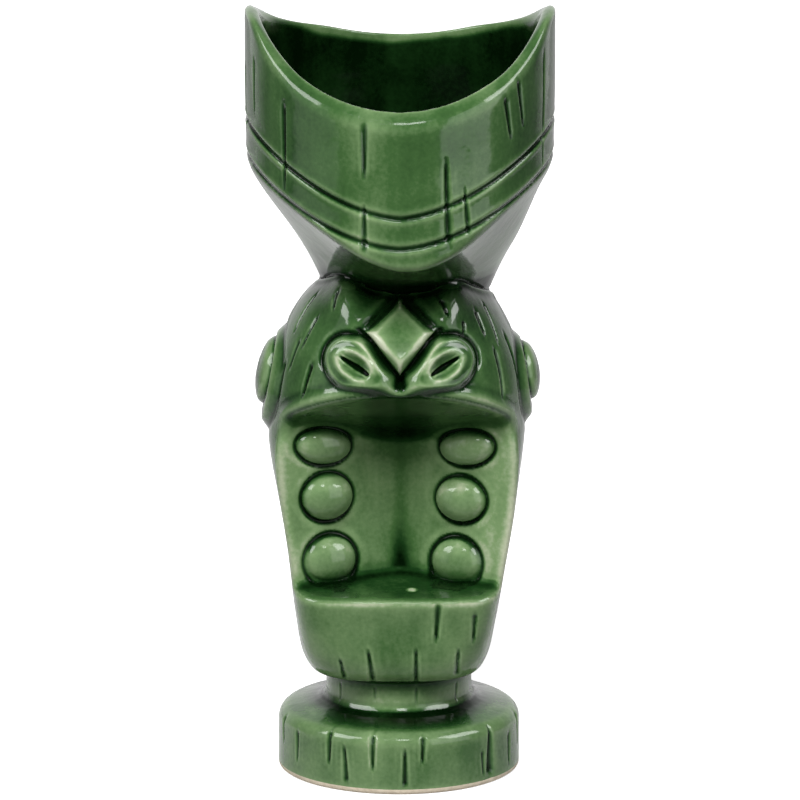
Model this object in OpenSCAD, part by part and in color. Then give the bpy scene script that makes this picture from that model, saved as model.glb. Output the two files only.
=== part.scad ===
// Tiki mug: a hollow, glazed ceramic mug in the shape of a wide-mouthed carved figure.
// It is put together the way a potter lutes clay: a foot ring, a round base, a stem,
// a hollow body with a carved mouth, a neck, a funnel and a tall crown with a saddle rim,
// then the lips, teeth, nostrils, nose and eyes that are laid on the body.
// Frame: +Z up, the face looks along -Y, origin on the table under the centre of the foot.

/* [Mug] */
// Height of the whole mug, at the two horns of the rim
mug_h = 204; // [196:1:212]
// Thickness of the cast clay wall
wall = 4; // [3.4:0.1:4.4]

/* [Base] */
// Diameter of the round base
base_d = 62; // [58:1:68]
// Height of the base, foot ring included
base_h = 17; // [15:0.5:20]
// Height of the unglazed foot ring
foot_h = 1.6; // [1:0.1:2]
// Diameter of the stem
stem_d = 37.2; // [34:0.2:40]
// Height of the stem that shows between base and body
stem_h = 7.3; // [6:0.1:9]

/* [Body] */
// Diameter of the body at its widest
body_d = 67.2; // [64:0.2:70]
// Height of the body, from the stem to the neck
body_h = 107; // [102:0.5:110]
// Depth from the body's axis to the valley at the back of the mouth
valley_d = 5; // [4:0.5:7]
// Lean of the two mouth walls, away from the valley
mouth_lean = 18.7; // [14:0.1:22]
// Diameter of a tooth
tooth_d = 13.6; // [12:0.1:14.4]
// Diameter of an eye
eye_d = 24.4; // [22:0.2:26]

/* [Neck] */
// Diameter of the neck
neck_d = 48; // [44:0.5:49]
// How far the neck's axis lies behind the body's axis
neck_back = 9; // [7:0.5:10]
// Height of the neck ring
neck_h = 3; // [2.4:0.2:4]

/* [Crown] */
// Diameter of the crown at the rim
crown_d = 80.6; // [78:0.2:84]
// Height of the crown's point above the neck ring, at the front
point_gap = 9; // [7:0.5:11]
// Height from the crown's point to its lower edge at the sides
edge_rise = 20; // [16:0.5:23]
// How far the rim dips between the horns
rim_dip = 19; // [14:0.5:22]

/* [Hidden] */

glaze = [0.16, 0.36, 0.18];
bisque = [0.86, 0.82, 0.72];
big = 200;      // larger than the mug is wide, for cuts that run right through
slip = 0.05;    // gap that the slip between two clay pieces fills
$fn = 96;

// Levels, from the table up
stem_z = base_h;
body_z = stem_z + stem_h;
neck_z = body_z + body_h;
funnel_z = neck_z + neck_h;
point_z = funnel_z + point_gap;

base_r = base_d / 2;
stem_r = stem_d / 2;
body_r = body_d / 2;
neck_r = neck_d / 2;
crown_r = crown_d / 2;
tooth_r = tooth_d / 2;
eye_r = eye_d / 2;

// Outline of the body: each entry is a share of body_h and a share of body_r
body_line = [
    [0.037, 0.705], [0.086, 0.768], [0.165, 0.805], [0.240, 0.836], [0.334, 0.868],
    [0.477, 0.928], [0.598, 0.983], [0.689, 1.000], [0.764, 0.988], [0.842, 0.932],
    [0.888, 0.875], [0.922, 0.812], [0.958, 0.714], [0.990, 0.570], [1.000, 0.500]
];

// Catmull-Rom curve through a list of points, with steps pieces to each stretch
function curve_point(a, b, c, d, t) =
    0.5 * (2 * b + (c - a) * t + (2 * a - 5 * b + 4 * c - d) * t * t
        + (3 * b - a - 3 * c + d) * t * t * t);
function curve(p, steps) = [
    for (i = [0 : len(p) - 2], s = [0 : steps - 1])
        curve_point(p[max(i - 1, 0)], p[i], p[i + 1], p[min(i + 2, len(p) - 1)], s / steps),
    p[len(p) - 1]
];

// The body's outline in millimetres as [radius, height], drawn in by an inset
function body_profile(inset) = [
    for (p = curve(body_line, 2))
        [max(body_r * p[1] - inset, 1), body_z + body_h * p[0] - (p[0] > 0.8 ? inset * (p[0] - 0.8) * 4 : 0)]
];

// Radius of the body at a height, read off its outline
function body_radius(z) = body_r * lookup((z - body_z) / body_h, body_line);

// Extrudes an [x, z] drawing from front to back
module front_cut() {
    translate([0, big / 2, 0]) rotate([90, 0, 0]) linear_extrude(big) children();
}

// Extrudes a [y, z] drawing from side to side
module side_cut() {
    translate([-big / 2, 0, 0]) rotate([90, 0, 90]) linear_extrude(big) children();
}

// A round-bottomed cut between two points
module groove(from, to, thick) {
    d = to - from;
    translate(from) rotate([0, acos(d[2] / norm(d)), atan2(d[1], d[0])])
        cylinder(r = thick / 2, h = norm(d), $fn = 16);
}

// Upright cuts like those left by a gouge: each is [angle from the front, low z, high z]
module gouges(cuts, radius) {
    for (c = cuts)
        groove([radius * sin(c[0]), -radius * cos(c[0]), c[1]],
               [radius * sin(c[0]), -radius * cos(c[0]), c[2]], 1.4);
}

// ---------- base ----------

inner_foot = base_r - 9.5;
outer_foot = base_r - 1.2;

module foot_ring() {
    color(bisque) rotate_extrude()
        polygon([[inner_foot, 0.4], [inner_foot + 0.7, 0], [outer_foot - 1, 0], [outer_foot, foot_h],
                 [inner_foot, foot_h]]);
}

base_cuts = [
    for (i = [0 : 17])
        let (high = i % 2 == 0)
        [i * 20 + 5 * sin(i * 97), high ? 6.5 : 2.6, high ? 12.6 : 8.6]
];

module base_disc() {
    shoulder = 5;
    top_r = base_r - 3.4;
    color(glaze) difference() {
        rotate_extrude() polygon(concat(
            [[0, foot_h + 1], [inner_foot, foot_h + 1], [inner_foot, foot_h], [outer_foot, foot_h],
             [base_r, foot_h + 2.4]],
            [for (a = [0 : 15 : 90])
                [top_r + 3.4 * cos(a), base_h - shoulder + shoulder * sin(a)]],
            [[stem_r, base_h + 0.4], [stem_r, base_h - 1], [0, base_h - 1]]));
        // the hollow inside, and the way up into the stem
        rotate_extrude() polygon([
            [0, foot_h + wall], [top_r - 3, foot_h + wall], [base_r - wall, foot_h + wall + 2.5],
            [base_r - wall, base_h - shoulder - 0.8], [top_r - 2.5, base_h - wall],
            [stem_r - wall, base_h - wall], [stem_r - wall, base_h + 1], [0, base_h + 1]]);
        gouges(base_cuts, base_r);
    }
}

module stem() {
    // its lower end sits 1 mm down in the base, its upper end 1 mm up in the body
    color(glaze) rotate_extrude() polygon([
        [stem_r - wall, stem_z - 1 + slip], [stem_r - slip, stem_z - 1 + slip],
        [stem_r - slip, body_z + 1 - slip], [stem_r - wall, body_z + 1 - slip]]);
}

// ---------- body ----------

chin_z = body_z + body_h * 0.037;   // underside of the lower lip
shelf_z = body_z + 29.7;            // back edge of the lower lip's top
palate_z = body_z + 68.3;           // height of the palate, 10 mm in front of the axis
palate_slope = 0.74;                // how steeply the palate rises to the front
chin_w = 22.5;                      // half the width of the lower lip
lip_thick = 4.2;                    // thickness of the upper lip over the palate

// Everything inside the body's outer surface, with the mouth not yet carved
module body_block() {
    rotate_extrude() polygon(concat(
        [[0, body_z], [stem_r + 0.7, body_z]], body_profile(0), [[0, neck_z]]));
    translate([0, neck_back, neck_z - 36]) cylinder(r1 = neck_r - 3, r2 = neck_r, h = 36);
}

// The carved mouth: two leaning walls, a palate that rises to the front, a sloping shelf.
// grow makes it larger all round, so that the hollow behind it leaves a wall.
module mouth(grow = 0) {
    back = valley_d - grow / cos(mouth_lean);
    rise = tan(mouth_lean) * big / 2;
    palate = grow * sqrt(1 + palate_slope * palate_slope);
    intersection() {
        linear_extrude(big) polygon([
            [0, -back], [-big / 2, -back - rise], [-big / 2, -big], [big / 2, -big],
            [big / 2, -back - rise]]);
        side_cut() polygon([
            [5, shelf_z + 1.7 - grow], [-90, shelf_z - 11.9 - grow],
            [-90, palate_z + palate_slope * 80 + palate],
            [5, palate_z - palate_slope * 15 + palate]]);
    }
}

// The hollow that holds the drink, from the stem's bore up to the neck
module body_hollow() {
    difference() {
        union() {
            rotate_extrude() polygon(concat(
                [[0, body_z - 2], [stem_r - wall, body_z - 2], [stem_r - wall, body_z + 2.2],
                 [body_r * 0.705 - wall, body_z + 7.6]],
                [for (p = body_profile(wall)) if (p[1] > body_z + 8 && p[1] < neck_z - 5) p],
                [[0, neck_z - 5]]));
            translate([0, neck_back, neck_z - 36])
                cylinder(r1 = neck_r - 3 - wall, r2 = neck_r - wall, h = 36);
            translate([0, neck_back, neck_z - 1]) cylinder(r = neck_r - wall, h = 3);
        }
        mouth(wall);
    }
}

module body_wall() {
    difference() {
        body_block();
        body_hollow();
        mouth();
        // rebate for the stem
        translate([0, 0, body_z - 1]) cylinder(r = stem_r, h = 2);
    }
}

module chin_zone(ease = 0) {
    translate([-chin_w + ease, -big, chin_z]) cube([2 * (chin_w - ease), big - 6, shelf_z + 2.4 - chin_z]);
}

// A strip over the mouth, as thick as the lip, that follows the palate
module upper_lip_zone(ease = 0) {
    side_cut() polygon([
        [-14 - ease, palate_z + palate_slope * 4 - 2],
        [-14 - ease, palate_z + palate_slope * 4 + lip_thick - ease],
        [-90, palate_z + palate_slope * 80 + lip_thick - ease],
        [-90, palate_z + palate_slope * 80 - 2]]);
}

// Cuts in the sides and back of the body, like the grain of carved wood
body_cuts = [
    for (i = [0 : 8])
        [110 + i * 17.5 + 4 * sin(i * 71), body_z + 22 + 9 * sin(i * 53), body_z + 52 + 12 * cos(i * 91)]
];

// Cuts like strands of hair, down both sides of the head: [angle, low z, high z]
hair_cuts = [
    [42, 113, 121], [50, 117, 126], [57, 109, 118], [64, 114, 122], [117, 110, 121],
    [133, 103, 116], [150, 108, 120]
];

module body_shell() {
    color(glaze) difference() {
        body_wall();
        chin_zone();
        upper_lip_zone();
        for (c = body_cuts)
            gouges([c], body_radius((c[1] + c[2]) / 2) - 0.1);
        for (c = hair_cuts, side = [-1, 1])
            let (low = c[1] + body_z - 24.3, high = c[2] + body_z - 24.3,
                 r1 = body_radius(low), r2 = body_radius(high), a = side * c[0])
            groove([r1 * sin(a), -r1 * cos(a), low], [r2 * sin(a), -r2 * cos(a), high], 1.2);
    }
}

// Cuts in the front of the lower lip: [x, y, low z, high z], from its lower edge up
lip_cuts = [[-15.4, 4, 12], [-8.3, 3, 10], [4.2, 3, 10], [9.6, 14, 22.5], [15, 4, 11], [19.2, 14, 21]];

module lower_lip() {
    // the front of the lip is flatter than the body
    flat_r = 60;
    front = body_r * 0.79;
    color(glaze) difference() {
        intersection() {
            body_wall();
            chin_zone(slip);
            translate([0, flat_r - front, 0]) cylinder(r1 = flat_r - 4, r2 = flat_r, h = shelf_z);
        }
        for (c = lip_cuts)
            let (y = -front + (flat_r - sqrt(flat_r * flat_r - c[0] * c[0])))
            groove([c[0], y + 4 * (1 - (chin_z + c[1]) / shelf_z), chin_z + c[1]],
                   [c[0], y + 4 * (1 - (chin_z + c[2]) / shelf_z), chin_z + c[2]], 1.2);
    }
}

module upper_lip() {
    color(glaze) intersection() {
        body_wall();
        upper_lip_zone(slip);
    }
}

// ---------- what is laid on the body ----------

// The teeth: [distance from the middle, height above the body's foot, downward tilt]
left_teeth = [[-19.4, 66.7, 28], [-18.9, 51.7, 4], [-17.8, 35.9, 0]];
right_teeth = [[18.4, 66.7, 28], [17.0, 51.3, 4], [16.0, 35.5, 0]];

// A round, domed sprig whose flat back lies on the mouth's wall
module tooth(place) {
    side = sign(place[0]);
    depth = valley_d + abs(place[0]) * tan(mouth_lean);
    dome = tooth_r * 0.82;
    color(glaze) difference() {
        translate([place[0], -depth, body_z + place[1]])
            rotate([0, 0, -side * mouth_lean]) rotate([90 + place[2], 0, 0])
                translate([0, 0, -1.4]) rotate_extrude() polygon(concat(
                    [[0, -1.5], [tooth_r, -1.5]],
                    [for (a = [0 : 9 : 90]) [tooth_r * cos(a), 1.2 + dome * sin(a)]]));
        difference() {
            linear_extrude(neck_z - 4) square(2 * body_r, center = true);
            mouth(-slip);
        }
    }
}

// A raised, tear-shaped nostril with a slit in its dish
module nostril(side) {
    z = body_z + 91.6;
    color(glaze) difference() {
        rotate([0, 0, side * 25]) translate([0, -body_radius(z), z]) rotate([56, 0, 0])
            rotate([0, 0, side * 33]) difference() {
                hull() {
                    translate([side * 1.5, 0, 0]) sphere(r = 6.2, $fn = 28);
                    translate([side * -8, -1, -1]) sphere(r = 3, $fn = 28);
                }
                // the dish
                translate([0, 0, 8.9]) sphere(r = 4.6, $fn = 28);
                // the slit
                translate([side * -0.6 - 3.4, -0.6, 2]) cube([6.8, 1.2, 8]);
            }
        body_block();
        upper_lip_zone(-slip);
    }
}

// A kite laid down the front of the head, thicker towards its lower corner
module nose_diamond() {
    half_w = 8.5;
    top = body_z + 105.6;
    middle = body_z + 98.4;
    low = body_z + 89.2;
    color(glaze) difference() {
        intersection() {
            rotate_extrude() polygon(concat(
                [[0, body_z + 60], [body_r, body_z + 60]],
                [for (p = body_profile(-2.2)) if (p[1] > body_z + 80) p],
                [[0, neck_z + 1.4]]));
            translate([0, -body_r / 2 - 5, 0]) rotate([90, 0, 0]) linear_extrude(big / 2)
                polygon([[0, top], [-half_w, middle], [0, low], [half_w, middle]]);
        }
        body_block();
    }
}

// A round eye on the side of the head: a domed ball inside a low ring
module eye(side) {
    color(glaze) difference() {
        translate([side * (body_r - 2.6), 0, body_z + 81.3]) rotate([0, side * 90, 0])
            rotate_extrude() polygon(concat(
                [[0, -8], [eye_r, -8]],
                [for (a = [0 : 20 : 180]) [eye_r - 1.7 + 1.7 * cos(a), 2.6 + 1.7 * sin(a)]],
                [for (a = [15 : 15 : 90]) [(eye_r - 3) * cos(a), 1.6 + 4.6 * sin(a)]]));
        body_block();
    }
}

// ---------- neck and crown ----------

module neck_collar() {
    waist = 1.2;
    color(glaze) translate([0, neck_back, neck_z + slip]) rotate_extrude() polygon(concat(
        [[neck_r - wall, 0]],
        [for (a = [-90 : 22.5 : 90]) [neck_r - waist * cos(a), (neck_h - slip) / 2 * (1 + sin(a))]],
        [[neck_r - wall, neck_h - slip]]));
}

// Everything above the crown's lower edge, a V with a soft point; lift moves it up
module crown_zone(lift) {
    front_cut() polygon(concat(
        [for (x = [-45 : 3 : 45]) [x, point_z + lift + edge_rise * pow(abs(x) / crown_r, 1.6)]],
        [[45, mug_h + 10], [-45, mug_h + 10]]));
}

// One of the two lines carved round the crown
module crown_line(low, rise, thick) {
    front_cut() polygon(concat(
        [for (x = [-45 : 3 : 45]) [x, point_z + low + rise * pow(abs(x) / crown_r, 1.3)]],
        [for (x = [45 : -3 : -45]) [x, point_z + low + thick + rise * pow(abs(x) / crown_r, 1.3)]]));
}

// The funnel that opens from the neck's circle to the crown, and the crown above it
module crown_block(inset, lift) {
    hull() {
        translate([0, neck_back, funnel_z]) cylinder(r = neck_r - inset, h = 0.01);
        intersection() {
            cylinder(r = crown_r - inset, h = mug_h + 5);
            crown_zone(lift);
        }
    }
}

module crown_hollow() {
    crown_block(wall, wall + 2);
    translate([0, neck_back, funnel_z - 1]) cylinder(r = neck_r - wall, h = 1.01);
}

// Saddle that the rim is cut to: high at the horns, low at front and back
module saddle() {
    saddle_r = (crown_r * crown_r + rim_dip * rim_dip) / (2 * rim_dip);
    translate([0, big / 2, mug_h - rim_dip + saddle_r]) rotate([90, 0, 0]) cylinder(r = saddle_r, h = big);
}

module crown_funnel() {
    color(glaze) difference() {
        crown_block(0, 0);
        crown_zone(-slip);
        crown_hollow();
    }
}

// Cuts in the crown: [angle from the front, low z, high z], heights under the horns
crown_cuts = [
    [-49, 42.5, 19], [-13.6, 36, 20.7], [-13.6, 56.8, 44.7], [17.8, 55, 32.2], [25.9, 52.2, 40.6],
    [45, 28.4, 17.3], [51.7, 25.8, 13.4], [68.5, 39.8, 8], [-84, 34, 12], [93, 30, 14],
    [112, 46, 28], [131, 30, 16], [150, 44, 32], [171, 36, 24], [190, 48, 40],
    [208, 34, 22], [228, 42, 26], [247, 28, 14]
];

module crown_band() {
    color(glaze) difference() {
        intersection() {
            cylinder(r = crown_r, h = mug_h);
            crown_zone(0);
        }
        crown_hollow();
        saddle();
        // two carved lines, cut only skin deep
        difference() {
            union() {
                crown_line(6, 18.7, 1.1);
                crown_line(14, 18.5, 1.1);
            }
            cylinder(r = crown_r - 0.7, h = big * 2);
        }
        gouges([for (c = crown_cuts) [c[0], mug_h - c[1], mug_h - c[2]]], crown_r);
    }
}

foot_ring();
base_disc();
stem();
body_shell();
lower_lip();
upper_lip();
tooth(left_teeth[0]);  // tooth_left_top
tooth(left_teeth[1]);  // tooth_left_middle
tooth(left_teeth[2]);  // tooth_left_bottom
tooth(right_teeth[0]);  // tooth_right_top
tooth(right_teeth[1]);  // tooth_right_middle
tooth(right_teeth[2]);  // tooth_right_bottom
nostril(-1);  // nostril_left
nostril(1);  // nostril_right
nose_diamond();
eye(-1);  // eye_left
eye(1);  // eye_right
neck_collar();
crown_funnel();
crown_band();
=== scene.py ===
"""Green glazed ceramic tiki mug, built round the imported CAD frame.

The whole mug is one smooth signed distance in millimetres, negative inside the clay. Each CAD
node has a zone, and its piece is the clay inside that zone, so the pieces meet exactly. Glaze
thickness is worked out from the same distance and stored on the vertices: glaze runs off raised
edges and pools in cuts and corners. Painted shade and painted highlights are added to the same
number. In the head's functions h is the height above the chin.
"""
import math
from concurrent.futures import ThreadPoolExecutor
from functools import partial

import bpy
import numpy as np
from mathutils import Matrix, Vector


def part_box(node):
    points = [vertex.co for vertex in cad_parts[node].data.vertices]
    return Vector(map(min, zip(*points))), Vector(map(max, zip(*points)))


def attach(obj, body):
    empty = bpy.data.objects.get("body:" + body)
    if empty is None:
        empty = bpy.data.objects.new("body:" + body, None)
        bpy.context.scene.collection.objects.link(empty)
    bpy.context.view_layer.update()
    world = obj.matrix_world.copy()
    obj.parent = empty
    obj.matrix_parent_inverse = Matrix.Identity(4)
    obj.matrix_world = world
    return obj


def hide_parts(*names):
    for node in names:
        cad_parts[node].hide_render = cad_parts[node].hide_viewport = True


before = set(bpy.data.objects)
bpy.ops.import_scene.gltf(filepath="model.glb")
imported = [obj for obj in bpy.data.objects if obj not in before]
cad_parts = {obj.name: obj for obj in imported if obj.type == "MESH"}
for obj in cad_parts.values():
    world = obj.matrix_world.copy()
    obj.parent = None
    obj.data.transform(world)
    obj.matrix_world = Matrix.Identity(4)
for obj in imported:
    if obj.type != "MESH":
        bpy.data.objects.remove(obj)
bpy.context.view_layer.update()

MM = 0.001


def cad_box(node):
    """Lowest and highest corner of a CAD node, in millimetres."""
    low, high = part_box(node)
    return np.array(low) / MM, np.array(high) / MM


# ---------- sizes from the frame

base_high = cad_box("base_disc")[1]
stem_high = cad_box("stem")[1]
foot_high = cad_box("foot_ring")[1]
body_low, body_high = cad_box("body_shell")
neck_low, neck_high = cad_box("neck_collar")
band_low, band_high = cad_box("crown_band")
lip_low, lip_high = cad_box("lower_lip")
kite_low, kite_high = cad_box("nose_diamond")

FOOT_GROWTH = 0.4     # how much wider the disc and the stem are than in the CAD
BASE_R = base_high[0] + FOOT_GROWTH
BASE_TOP = base_high[2] - 0.4
BASE_X = -0.3         # the disc sits a little to the left
FOOT_TOP = foot_high[2]
FOOT_R = foot_high[0]
STEM_R = stem_high[0] + FOOT_GROWTH
BODY_Z = body_low[2]
BODY_H = body_high[2] - BODY_Z
BODY_R = body_high[0]
NECK_R = neck_high[0]
NECK_X = 1.9          # the neck leans a little to the right
NECK_Y = (neck_low[1] + neck_high[1]) / 2
NECK_Z = neck_low[2]
FUNNEL_Z = neck_high[2]
CROWN_R = band_high[0]
POINT_Z = band_low[2]
TOP_Z = band_high[2]
WALL = 4.0            # thickness of the clay
EDGE_RISE = 21.5      # how far the crown's lower edge climbs from its point to its sides
RIM_DIP = 19.0        # how far the rim's saddle dips below its two points
SADDLE_R = (CROWN_R ** 2 + RIM_DIP ** 2) / (2 * RIM_DIP)
RIM_TILT = 2.4        # how much higher the rim is at the back
LEAN = math.tan(math.radians(18.7))    # slant of the mouth's two walls
VALLEY = 5.0          # depth at which the two walls meet
SHELF_Z = BODY_Z + 26.9
PALATE_Z = BODY_Z + 62.2
PALATE_SLOPE = 0.65
HAIR_R = 31.0         # radii at which the cuts of the head are unrolled
GRAIN_R = 29.0
REACH = 9.0           # how far a carved feature acts in front of and behind the surface

# ---------- small maths


def smin(a, b, k):
    """The smaller of two distances, blended over k millimetres."""
    h = np.clip(0.5 + 0.5 * (b - a) / k, 0, 1)
    return b + (a - b) * h - k * h * (1 - h)


def smax(a, b, k):
    """The larger of two distances, blended over k millimetres."""
    return -smin(-a, -b, k)


def bump(distance, width):
    """1 on a line, fading to 0 about a width away from it."""
    return np.exp(-(distance / width) ** 2)


def step(x, low, high):
    """0 at low and 1 at high, smooth between."""
    t = np.clip((x - low) / (high - low), 0, 1)
    return t * t * (3 - 2 * t)


def soft_abs(x, s):
    """The size of x, rounded off over s near 0."""
    return np.sqrt(x * x + s * s) - s


def spline(points, steps):
    """Catmull-Rom curve through points."""
    p = np.array([points[0], *points, points[-1]], float)
    out = []
    for a, b, c, d in zip(p[:-3], p[1:-2], p[2:-1], p[3:]):
        for t in np.arange(steps) / steps:
            out.append(0.5 * (2 * b + (c - a) * t + (2 * a - 5 * b + 4 * c - d) * t ** 2
                              + (3 * b - a - 3 * c + d) * t ** 3))
    out.append(p[-1])
    return np.array(out)


def arc(cx, cy, rx, ry, start, end, count=7):
    """Points along part of an ellipse, angles in degrees."""
    return [(cx + rx * math.cos(a), cy + ry * math.sin(a))
            for a in np.radians(np.linspace(start, end, count))]


LATHE_GRID = 0.25


class Lathe:
    """Signed distance from a closed outline of (radius, height), read off a fine grid."""

    def __init__(self, outline, soften):
        pts = np.array(outline, float)
        self.low = np.array([-2.0, pts[:, 1].min() - 6])
        high = np.array([pts[:, 0].max() + 6, pts[:, 1].max() + 6])
        n = np.ceil((high - self.low) / LATHE_GRID).astype(int) + 1
        axes = [start + LATHE_GRID * np.arange(k) for start, k in zip(self.low, n)]
        r, z = np.meshgrid(*axes, indexing="ij")
        r = np.abs(r)
        best = np.full(r.shape, 1e9)
        inside = np.zeros(r.shape, bool)
        for (r0, z0), (r1, z1) in zip(pts, np.roll(pts, -1, 0)):
            dr, dz = r1 - r0, z1 - z0
            length = dr * dr + dz * dz
            if length < 1e-12:
                continue
            if not (r0 < 1e-6 and r1 < 1e-6):    # the axis itself is no surface
                t = np.clip(((r - r0) * dr + (z - z0) * dz) / length, 0, 1)
                best = np.minimum(best, (r - r0 - t * dr) ** 2 + (z - z0 - t * dz) ** 2)
            if dz != 0:
                spans = (z0 > z) != (z1 > z)
                inside ^= spans & (r < r0 + (z - z0) * dr / dz)
        field = np.where(inside, -1, 1) * np.sqrt(best)
        # softened along radius and height in turn
        for _ in range(2 * soften):
            wider = np.pad(field, ((1, 1), (0, 0)), "edge")
            field = ((wider[:-2] + 2 * field + wider[2:]) / 4).T
        self.field = field

    def __call__(self, r, z):
        a = np.clip((r - self.low[0]) / LATHE_GRID, 0, self.field.shape[0] - 1.001)
        b = np.clip((z - self.low[1]) / LATHE_GRID, 0, self.field.shape[1] - 1.001)
        i, j = a.astype(int), b.astype(int)
        a, b = a - i, b - j
        f = self.field
        return ((1 - a) * ((1 - b) * f[i, j] + b * f[i, j + 1])
                + a * ((1 - b) * f[i + 1, j] + b * f[i + 1, j + 1]))


# ---------- carved cuts

def cuts(u, v, marks, turn=None):
    """Depth of gouge cuts, broad at the start, on a surface unrolled to u, v. Each mark is
    (u, v, u, v, half width, depth) from start to end; turn is the distance round the surface."""
    depth = np.zeros(len(u))
    for u0, v0, u1, v1, width, deep in marks:
        reach = 3 * width
        near = (v > min(v0, v1) - reach) & (v < max(v0, v1) + reach)
        du = u - u0
        if turn:
            du = (du + turn / 2) % turn - turn / 2
        near &= (du > min(0, u1 - u0) - reach) & (du < max(0, u1 - u0) + reach)
        if not near.any():
            continue
        du, dv = du[near], v[near] - v0
        lu, lv = u1 - u0, v1 - v0
        length = math.hypot(lu, lv)
        along = (du * lu + dv * lv) / length
        t = np.clip(along / length, 0, 1)
        across = np.abs(du * lv - dv * lu) / length
        past = np.maximum(np.maximum(-along, along - length), 0)
        taper = width * (1.2 - 0.7 * t)
        fade = step(t, -0.02, 0.14) * step(1 - t, -0.02, 0.22)
        cut = deep * (0.25 + 0.75 * fade) * bump(np.hypot(across, past), taper)
        depth[near] = np.maximum(depth[near], cut)
    return depth


def cuts_round(x, y, z, radius, marks):
    """Depth of gouge cuts on a round surface, unrolled at a radius."""
    return cuts(radius * np.arctan2(x, -y), z, marks, 2 * math.pi * radius)


def around(radius, kinds, broader=1.0):
    """Marks for cuts() on a round surface: for each half width and depth, a list of
    (angle, height at the start, height at the end) and the angle's drift, if it has one."""
    return [(math.radians(angle) * radius, start, math.radians(angle + sum(drift)) * radius, end,
             width * broader, deep * broader)
            for (width, deep), places in kinds.items() for angle, start, end, *drift in places]


BASE_MARKS = around(BASE_R, {
    (0.4, 0.2): [(-20, 25.5, 22)],
    (0.45, 0.25): [(13, 25.5, 21)],
    (0.45, 0.5): [(43.7, 9.6, 2.8, 0.7)],
    (0.5, 0.3): [(-54, 25, 20), (52, 25, 20, -1)],
    (0.5, 0.6): [(-158, 12.2, 3), (-125, 12.4, 2.6, 1), (-92, 12.4, 3), (-74, 15, 8, 1),
        (97, 12, 3, 0.5), (129, 12.6, 3), (160, 12, 2.8, 1)],
    (0.55, 0.6): [(-58, 13.5, 5), (66, 12, 3)],
    (0.58, 0.7): [(11.4, 15.4, 8.5, -0.7)],
    (0.6, 0.7): [(-142, 15.4, 6.6), (-108, 15.4, 7), (-26.5, 2.6, 12.4, -1.1), (80, 15.2, 7),
        (113, 15.4, 6.4), (146, 15.4, 7.4)],
    (0.62, 0.75): [(-36, 15.6, 7), (2.4, 2.2, 12.4), (176, 15.2, 6)],
    (0.62, 0.8): [(-13.2, 15.8, 6.5)],
    (1.15, 1.1): [(49.3, 2.4, 15.2)]})

CROWN_MARKS = around(CROWN_R, {
    (0.4, 0.35): [(-69.6, 193.7, 177.5), (67.5, 196.2, 164.4)],
    (0.5, 0.5): [(-100, 182, 168), (26.5, 151.8, 164.6, -1.7)],
    (0.55, 0.5): [(-84, 190, 172), (90, 188, 170, 1)],
    (0.55, 0.55): [(-132, 180, 162, -1), (-113, 190, 174), (42.7, 187, 175.6, 3.1),
        (49.7, 190.9, 178.1, 2.9)],
    (0.55, 0.6): [(-170, 164, 151)],
    (0.6, 0.6): [(-152, 182, 166), (-48.6, 185.2, 161.7), (112, 180, 160), (131, 187, 173),
        (150, 176, 156, 1)],
    (0.65, 0.6): [(171, 183, 168)],
    (0.66, 0.65): [(-13.5, 147.6, 160.4)],
    (0.7, 0.66): [(18.5, 149, 172.9, -1.2)],
    (0.72, 0.65): [(-13.5, 183.4, 168)]}, 1.2)

HAIR_MARKS = around(HAIR_R, {
    (0.5, 0.4): [(-54, 125, 116, -3)],
    (0.5, 0.45): [(-68, 112, 101, -1)],
    (0.5, 0.5): [(-60.9, 118.3, 110.3, -1.8)],
    (0.55, 0.45): [(65, 127, 117, -4.7)],
    (0.55, 0.5): [(38, 125, 121.8, -1.5), (71, 119, 106, -1)],
    (0.6, 0.5): [(-71, 129, 119, 2)],
    (0.6, 0.6): [(-154, 121, 104), (-127, 123, 109), (-104, 124, 112), (104, 124, 113), (124, 123, 110),
        (150, 121, 104), (180, 120, 103)],
    (0.6, 0.65): [(-168, 109, 89), (-140, 111, 94), (-115, 117, 99), (113, 117, 100), (137, 112, 94),
        (165, 110, 90)],
    (0.6, 0.75): [(-46.7, 113.7, 104.8, -2.6), (55.6, 116.9, 103.8, -1.3)],
    (0.75, 0.7): [(29, 130.2, 126.8, -0.5)],
    (0.75, 0.75): [(52, 126.3, 120.4, -0.4)],
    (0.8, 0.7): [(-46.8, 131.5, 127.6, 4.4)]})

GRAIN_MARKS = around(GRAIN_R, {
    (0.55, 0.55): [(-98, 80, 62), (98, 84, 64)],
    (0.55, 0.6): [(-161, 80, 58), (-146, 66, 45), (-130, 84, 62), (-113, 64, 44), (112, 66, 46),
        (128, 82, 60), (143, 62, 42, 1), (158, 78, 56)],
    (0.6, 0.65): [(176, 66, 44)]})

# the lip's front is nearly flat, so its marks are (x, height) in front view
LIP_MARKS = [
    (10.0, 50.6, 9.3, 39.8, 0.75, 0.85), (19.5, 47.3, 19.0, 39.3, 0.55, 0.6),
    (-14.3, 28.6, -15.6, 34.9, 0.5, 0.6), (-7.0, 28.0, -8.3, 37.6, 0.68, 0.8),
    (4.2, 27.8, 4.2, 37.8, 0.6, 0.75), (14.6, 29.6, 15.2, 37.6, 0.55, 0.6)]

# ---------- outlines

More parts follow.
